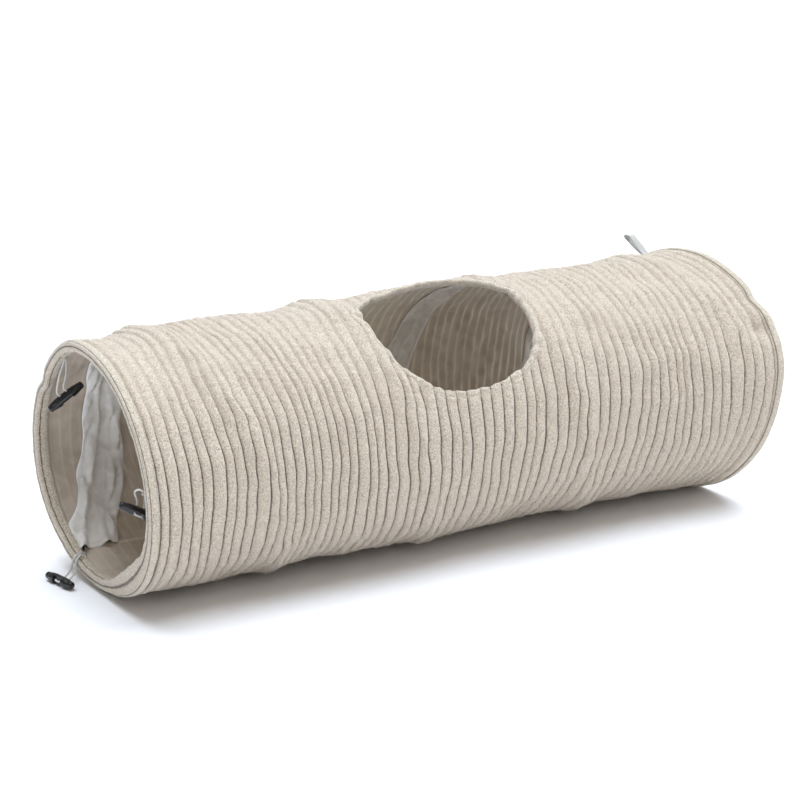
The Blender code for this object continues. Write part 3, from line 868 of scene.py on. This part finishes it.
def cover_surface(x, turn):
    """The radius of the cover's outside, and how far up a wale it is."""
    pile = wale_profile(x)
    hole = edge_distance(x, turn, groove_radius, peephole_hem_half_width)
    end = wale_end_share + (1 - wale_end_share) * smoothstep(hole / wale_end_fade)
    place = straight(x, tunnel_radius, turn)
    plump = 1 + sum(waves(place, *kind) for kind in plump_waves)
    radius = groove_radius + wale_height * pile * end * plump
    return radius + ridge_height * ridge(x, turn), pile


def skin_faces(inside):
    """The quads of a skin round the tunnel, less those inside the peephole."""
    faces = grid_faces(*inside.shape, columns_meet=True)
    return faces[~inside.ravel()[faces].all(1)]


def make_cover():
    number = np.linspace(0, wale_count, wale_count * wale_columns + 1)
    x = np.interp(number, wale_numbers, wale_places)
    x, turn = np.meshgrid(x, around(cover_rows_round), indexing="ij")
    x, turn, inside = clear_peephole(x, turn, groove_radius, peephole_hem_half_width)
    radius, pile = cover_surface(x, turn)
    # Painted light: the grooves are painted lighter on the top, where the light from above
    # falls into them
    closed = top_groove_painted_light * np.maximum(np.cos(turn), 0) ** 2
    pile = 1 - (1 - pile) * (1 - closed)
    points = lie(x, radius, turn)
    cover = make_piece("corduroy_cover", points, skin_faces(inside), corduroy, pile=pile)
    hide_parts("cover")
    return cover


# Lining
def make_lining():
    columns = lining_rib_count * lining_rib_columns + 1
    x = np.linspace(-body_half_length, body_half_length, columns)
    x, turn = np.meshgrid(x, around(lining_rows_round), indexing="ij")
    x, turn, inside = clear_peephole(x, turn, lining_radius, peephole_hem_half_width)
    rib = np.mod((x / body_half_length + 1) / 2 * lining_rib_count, 1)
    rib = bell(rib, 0.5, lining_rib_share)
    seam = turn_bell(turn, lining_seam_turn, lining_seam_spread)
    place = straight(x, tunnel_radius, turn)
    slack = 1 - ridge(x, turn, lining_held_spread)
    slack *= smoothstep(edge_distance(x, turn, lining_radius, 0) / inner_hold)
    wrinkles = sum(waves(place, *kind) for kind in lining_wrinkles)
    radius = lining_radius - lining_rib_height * rib - lining_seam_depth * seam
    radius -= slack * np.maximum(0, wrinkles)
    shown = (0.15 + 0.38 * eased(x, -0.26, -0.05)) * (0.8 + waves(place, 0.25, 0.06, 35))
    # Painted light: the lining is painted paler where light through the peephole falls on its
    # back wall
    lit = 0.85 * bell(x, painted_light_x, painted_light_length) * turn_bell(turn, painted_light_turn, painted_light_round)
    pale_marks_and_painted_light = np.clip(shown * rib + 0.3 * seam + lit, 0, 1)
    points, faces = lie(x, radius, turn), skin_faces(inside)[:, ::-1]
    lining = make_piece("lining_cloth", points, faces, lining_cloth, seam=pale_marks_and_painted_light)
    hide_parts("lining")
    return lining


# Spring wire, its clips and its casing
def make_wire():
    facet = np.linspace(0, facet_count, facet_count * wire_rings_a_facet + 1)[:, None]
    angle = around(wire_sides)
    x = wire_x(facet) + wire_diameter / 2 * np.cos(angle)
    radius = wire_path_radius + wire_diameter / 2 * np.sin(angle)
    points = lie(x, radius, wire_turn(facet))
    faces = grid_faces(*x.shape, columns_meet=True)
    wire = make_piece("spring_wire_round", points, faces, steel, end_caps(*x.shape))
    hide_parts("spring_wire")
    return wire


def make_clip(name, node):
    """The CAD clip, lying where its leaning hem is."""
    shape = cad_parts[node].data.copy()
    points = np.array([vertex.co for vertex in shape.vertices])
    shape.vertices.foreach_set("co", lie(*unroll(points)).ravel().astype(np.float32))
    shape.materials.clear()
    shape.materials.append(steel)
    clip = show(name, shape)
    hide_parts(node)
    return clip


def there_and_back(inner, outer):
    """Values across the casing's inner face and back across its outer one."""
    return np.concatenate([inner, outer[:, ::-1]], 1)


def make_casing():
    """A crumpled strip along the wire, cut short at the mouths and the peephole."""
    facet = np.linspace(0, facet_count, facet_count * casing_rows_a_facet + 1)
    facet = facet[np.abs(wire_x(facet)) <= body_half_length - casing_end_gap][:, None]
    share = np.linspace(-1, 1, casing_points_across)
    from_middle = np.abs(share)
    edge_place = straight(wire_x(facet), tunnel_radius, wire_turn(facet))
    edge_place = edge_place + casing_edge_reach * share[:, None]
    by_the_mouth = bell(facet, *casing_slack_facets)
    half_width = casing_width / 2 * (1 + waves(edge_place, *casing_width_waves))
    half_width *= 1 + casing_slack_share * by_the_mouth
    x = wire_x(facet) + casing_slip * by_the_mouth + share * half_width
    x = np.clip(x, -body_half_length + touch_gap, body_half_length - touch_gap)
    turn = np.broadcast_to(wire_turn(facet), x.shape)
    place = straight(x, tunnel_radius, turn)

    crown = bell(x, wire_x(facet), casing_crown_spread)
    inner = casing_flange_radius - (casing_flange_radius - casing_crown_radius) * crown
    crumple = np.abs(waves(place * fold_stretch, *casing_folds))
    crumple += np.abs(waves(place, *casing_wrinkles))
    crumple *= 1 + 0.8 * by_the_mouth
    loose = smoothstep(from_middle * 1.6 - 0.1) * (1 - 0.8 * from_middle**5)
    loose = loose * smoothstep(edge_distance(x, turn, lining_radius, 0) / inner_hold)
    lift = by_the_mouth * from_middle**8 * (1 + waves(place, 1, 0.03, 45))
    inner -= loose * crumple + casing_edge_lift * lift
    # Paler at its edges; paler towards the near mouth is painted light, where light comes in
    # at the mouth
    pale_marks_and_painted_light = 0.6 * (from_middle**10 + 0.4 * (1 - eased(x, -0.36, -0.20)))

    x, turn, _ = clear_peephole(x, turn, lining_radius, casing_margin)
    radius = there_and_back(inner, inner + casing_thickness)
    points = lie(there_and_back(x, x), radius, there_and_back(turn, turn))
    pale_marks_and_painted_light = there_and_back(pale_marks_and_painted_light, pale_marks_and_painted_light)
    faces = grid_faces(*radius.shape, columns_meet=True)
    ends = end_caps(*radius.shape)
    casing = make_piece("wire_casing_cloth", points, faces, casing_cloth, ends, seam=pale_marks_and_painted_light)
    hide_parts("wire_casing")
    course = straight(wire_x(facet), casing_flange_radius, wire_turn(facet))[:, 0]
    length = np.linalg.norm(np.diff(course, axis=0), axis=1).sum()
    return casing


# Hems
hem_rows_round, hem_points_round = 480, 40
hem_squareness = 2.9
# Degrees round each hem's section, from the mouth's side towards the outside
near_hem_grooves = (2, 55, 128, 285)
far_hem_grooves = (128, 285)
hem_groove_spread, hem_groove_depth = 0.13, 0.15
# The near hem's fold, low at its front
fold_turn, fold_spread, fold_depth = math.radians(140), math.radians(24), 0.019
# The near hem is broader inside the mouth, at its back
tuck_turn, tuck_spread, tuck_width = math.radians(-100), math.radians(60), 0.0045
# The peephole's hem, with a groove round its rear side
peephole_rows_round, peephole_points_round = 640, 28
peephole_groove_turn, peephole_groove_spread = math.radians(30), 0.24
peephole_swell_radius = 0.09


def squared(value):
    """The sine or cosine of a circle, pushed out towards a square's."""
    return np.sign(value) * np.abs(value) ** (2 / hem_squareness)


def make_hem(name, node, end):
    """A plump bound edge: a soft square roll with sewn grooves."""
    turn, angle = around(hem_rows_round)[:, None], around(hem_points_round)
    along, out = squared(np.cos(angle)), squared(np.sin(angle))
    place = straight(end * hem_centre_x, tunnel_radius, turn)
    pucker = 1 + waves(place, 0.015, 0.012, 51 + end) + waves(place, 0.012, 0.030, 53 + end)
    grooves = near_hem_grooves if end < 0 else far_hem_grooves
    groove = sum(turn_bell(angle, math.radians(v), hem_groove_spread) for v in grooves)
    size = (1 - hem_groove_depth * groove) * pucker
    x = end * (hem_centre_x + hem_width / 2 * along * size)
    radius = tunnel_radius - hem_depth / 2 + hem_depth / 2 * out * size
    radius += waves(place, 0.0005, 0.020, 55 + end) * (out < 0)
    if end < 0:
        inside = 0.5 - out / 2
        radius -= fold_depth * inside * turn_bell(turn, fold_turn, fold_spread)
        tuck = inside * (0.5 - along / 2) * turn_bell(turn, tuck_turn, tuck_spread)
        x += tuck_width * tuck
    # The sewn grooves take the darker groove colour, with painted shade in it
    pile = np.clip(1 - 1.1 * groove, 0, 1) + 0 * turn
    faces = grid_faces(*x.shape, True, True)
    if end > 0:
        faces = faces[:, ::-1]
    hem = make_piece(name, lie(x, radius, turn), faces, hem_plush, pile=pile)
    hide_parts(node)
    return hem


def make_peephole_hem():
    """The cover's turned edge: wale ends rolled over at its front, a plush band behind."""
    middle, outward = peephole_outline(peephole_hem_half_width, peephole_rows_round)
    gone, angle = around(peephole_rows_round), around(peephole_points_round)
    ring = peephole_swell_radius * np.stack([np.cos(gone), np.sin(gone), 0 * gone], -1)
    swell = (1 + waves(ring, 0.10, 0.008, 61) + waves(ring, 0.07, 0.03, 63))[:, None]
    front = smoothstep(-3.0 * outward[:, 1:] - 1.9)
    groove = bell(angle, peephole_groove_turn, peephole_groove_spread) * (1 - front)
    wide = peephole_hem_half_width * np.cos(angle) * (swell - 0.10 * groove)
    wide *= 1 + 0.3 * (1 - front) * (np.cos(angle) > 0)
    along = middle[:, :1] + outward[:, :1] * wide
    across = middle[:, 1:] + outward[:, 1:] * wide
    wale = wale_profile(along + peephole_x)
    turned = groove_radius + wale_height * wale - peephole_hem_radius
    top = front * turned + (1 - front) * 1.7 * peephole_hem_half_height * swell
    high = np.where(np.sin(angle) > 0, top, peephole_hem_half_height * swell) * np.sin(angle)
    radius = peephole_hem_radius + high * (1 - 0.25 * groove)
    x, turn = from_peephole(along, across, radius)
    # The groove and the rolled wale ends take the darker groove colour, with painted shade in
    # it
    pile = np.clip((1 - 0.7 * groove) * (1 - front * (1 - wale)), 0, 1)
    faces = grid_faces(*x.shape, True, True)
    hem = make_piece("peephole_roll", lie(x, radius, turn), faces, hem_plush, pile=pile)
    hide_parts("peephole_hem")
    return hem


# Stitches
stitch_length = 0.0034
stitch_radius = 0.00032
# From one stitch to the next, as a share of its length
stitch_pitch = 1.35
stitch_rings, stitch_sides = 5, 6
# A step outwards, which tells the way that the cloth faces
facing_step = 0.001
# How far a stitch's middle stands off the cloth, and how much lower its ends are
stitch_rise, stitch_dip = 0.0003, 0.0007
# Where the rows lie: off the middle of a mouth's hem and under its face, and as shares of
# the half width and the half height of the peephole's
hem_stitch_inset, hem_stitch_depth = 0.0045, 0.0006
peephole_stitch_out, peephole_stitch_up = 0.72, 0.42


def stitch_row(name, x, radius, turn):
    """Short threads laid end to end along a closed row of places on the tunnel."""
    path = lie(x, radius, turn)
    lift = lie(x, radius + facing_step, turn) - path
    lift /= np.linalg.norm(lift, axis=1)[:, None]
    gone = lengths_along(path)
    count = int(gone[-1] / (stitch_length * stitch_pitch))
    share = np.linspace(-0.5, 0.5, stitch_rings)
    from_middle = (2 * share[:, None]) ** 2
    thick = stitch_radius * np.sqrt(np.clip(1.02 - from_middle, 0.04, 1))[..., None]
    angle = around(stitch_sides)[:, None]
    points, faces, caps = [], [], []
    for k in range(count):
        at = (k + 0.5) * gone[-1] / count + share * stitch_length
        line, up = read_off(path, gone, at), read_off(lift, gone, at)
        ahead = line[-1] - line[0]
        side = np.cross(up, ahead / np.linalg.norm(ahead))
        middle = line + up * (stitch_rise - stitch_dip * from_middle)
        ring = side[:, None] * np.cos(angle) + up[:, None] * np.sin(angle)
        points.append(middle[:, None] + ring * thick)
        start = k * stitch_rings * stitch_sides
        faces.append(start + grid_faces(stitch_rings, stitch_sides, columns_meet=True))
        caps += [start + cap for cap in end_caps(stitch_rings, stitch_sides)]
    plain_seam = np.zeros(count * stitch_rings * stitch_sides)
    points, faces = np.concatenate(points), np.concatenate(faces)
    return make_piece(name, points, faces, thread_look, caps, seam=plain_seam)


def hem_stitches(name, end):
    turn = np.linspace(0, math.tau, 721)
    x = np.full(turn.shape, end * (hem_centre_x - hem_stitch_inset))
    return stitch_row(name, x, tunnel_radius - hem_stitch_depth, turn)


def peephole_stitches():
    middle, outward = peephole_outline(peephole_hem_half_width, 360)
    place = middle + outward * peephole_hem_half_width * peephole_stitch_out
    place = np.concatenate([place, place[:1]])
    radius = peephole_hem_radius + peephole_hem_half_height * peephole_stitch_up
    x, turn = from_peephole(place[:, 0], place[:, 1], radius)
    return stitch_row("peephole_stitches", x, radius, turn)


# Ribbon loops
def arc(radius, start, end):
    angle = np.linspace(start, end, 30)
    return radius * np.stack([np.cos(angle), np.sin(angle)], -1)


def teardrop():
    """A drop of two arcs and their tangents, with its root at the origin."""
    rise = loop_height - loop_root_radius - loop_crown_radius
    lean = math.asin((loop_crown_radius - loop_root_radius) / rise)
    lower = arc(loop_root_radius, math.pi - lean, math.tau + lean)
    upper = arc(loop_crown_radius, lean, math.pi - lean) + (0, rise)
    return np.concatenate([lower, upper, lower[:1]])


def make_loop(number, facet, side):
    """One ribbon loop on the far hem; side is 1 outside the tunnel, -1 inside its mouth."""
    turn = facet * step
    seat = tunnel_radius if side > 0 else tunnel_radius - hem_depth
    root_radius = seat * math.cos(step / 2) + side * (touch_gap + loop_root_radius)
    root = straight(hem_centre_x, root_radius, turn) + (0, 0, axis_height)
    sewn = seat - side * ribbon_seat_depth
    carried = lie(hem_centre_x, sewn, turn)
    carried -= straight(hem_centre_x, sewn, turn) + (0, 0, axis_height)
    root += carried * (0, 1, 1)
    root[0] += loop_shifts[number - 1]

    line, outward, length = evenly(teardrop(), ribbon_points_along, 1)
    share = np.linspace(-1, 1, ribbon_points_across)
    across = np.r_[share, share[::-1]]
    depth = np.repeat([0, ribbon_thickness], ribbon_points_across)
    sideways = line[:, :1] - outward[:, :1] * depth
    upwards = line[:, 1:] - outward[:, 1:] * depth
    along = across * ribbon_width / 2 - loop_bends[number - 1] * upwards
    wave = ribbon_wave_height * across
    sideways += wave * np.sin(line[:, 1:] * ribbon_wave_rate + number)
    up = side * np.array([0, -math.sin(turn), math.cos(turn)])
    side_way = np.cross(up, (1, 0, 0))
    points = root + sideways[..., None] * side_way + upwards[..., None] * up
    points[..., 0] += along

    rib = 1 - np.arange(len(line))[:, None] % 2 + 0 * across
    edge = np.abs(across) ** 12 + 0 * line[:, :1]
    faces = grid_faces(*along.shape, True, True)
    loop = make_piece(f"ribbon_loop_{number}", points, faces, ribbon_cloth, rib=rib, seam=edge)
    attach(loop, f"fastening_loop_{number}")
    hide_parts(f"fastening_loop_{number}")


def press_flat(piece):
    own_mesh(piece)


def make_mouth(name, end):
    """One mouth's hem, its wire clip and its stitches, all on that mouth's body."""
    hem = make_hem(f"mouth_roll_{name}", f"{name}_hem", end)
    clip = make_clip(f"wire_clip_{name}", f"{name}_wire_clip")
    thread = hem_stitches(f"mouth_stitches_{name}", end)
    for piece in (hem, clip, thread):
        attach(piece, f"{name}_end")
        press_flat(piece)
    return hem


near_roll = make_mouth("near", -1)
make_mouth("far", 1)
cover = make_cover()
lining = make_lining()
wire = make_wire()
peephole_roll = make_peephole_hem()
peephole_thread = peephole_stitches()
for piece in (cover, lining, wire, make_casing(), peephole_roll, peephole_thread):
    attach(piece, "near_end")
    press_flat(piece)
for count, (facet, face) in enumerate(zip(sewn_facets, sewn_faces), 1):
    make_loop(count, facet, face)


# Floor, light and background
floor_radius = 14.0
grain_size = 0.02
floor_colour = (0.93, 0.932, 0.95)
sky_colour = (1.0, 0.975, 0.935, 1)
sky_strength = 0.36
# Each lamp's name, strength, angle in degrees, colour and way
lamps = (
    ("overhead", 4.9, 62, (0.83, 0.905, 1.0), (-0.14, -0.08, -1.00)),
    ("front", 0.30, 60, (1.0, 0.95, 0.88), (-0.10, 0.70, -0.70)),
)


def make_floor():
    bpy.ops.mesh.primitive_circle_add(vertices=96, radius=floor_radius, fill_type="NGON")
    floor = bpy.context.object
    floor.name = "floor"
    look = Shading("floor_paper", 0.9)
    grain = look.ramp(look.noise(grain_size, 2.0), 0.2, 0.8)
    tone = look.mix(grain, (*floor_colour, 1), (*[v * 0.995 for v in floor_colour], 1))
    floor.data.materials.append(look.finish(tone))


def make_light():
    for name, strength, degrees, colour, way in lamps:
        lamp = bpy.data.lights.new(name, "SUN")
        lamp.energy = strength
        lamp.angle = math.radians(degrees)
        lamp.color = colour
        sun = show(name, lamp)
        sun.rotation_euler = Vector(way).to_track_quat("-Z", "Y").to_euler()
    world = bpy.data.worlds.new("studio")
    world.use_nodes = True
    bpy.context.scene.world = world
    tree = world.node_tree
    background = tree.nodes["Background"]
    background.inputs["Strength"].default_value = sky_strength
    background.inputs["Color"].default_value = sky_colour
    seen = tree.nodes.new("ShaderNodeBackground")
    seen.inputs["Color"].default_value = (1, 1, 1, 1)
    path = tree.nodes.new("ShaderNodeLightPath")
    mix = tree.nodes.new("ShaderNodeMixShader")
    tree.links.new(path.outputs["Is Camera Ray"], mix.inputs["Fac"])
    tree.links.new(background.outputs["Background"], mix.inputs[1])
    tree.links.new(seen.outputs["Background"], mix.inputs[2])
    tree.links.new(mix.outputs["Shader"], tree.nodes["World Output"].inputs["Surface"])


make_floor()
make_light()
bpy.context.scene.view_settings.view_transform = "Standard"
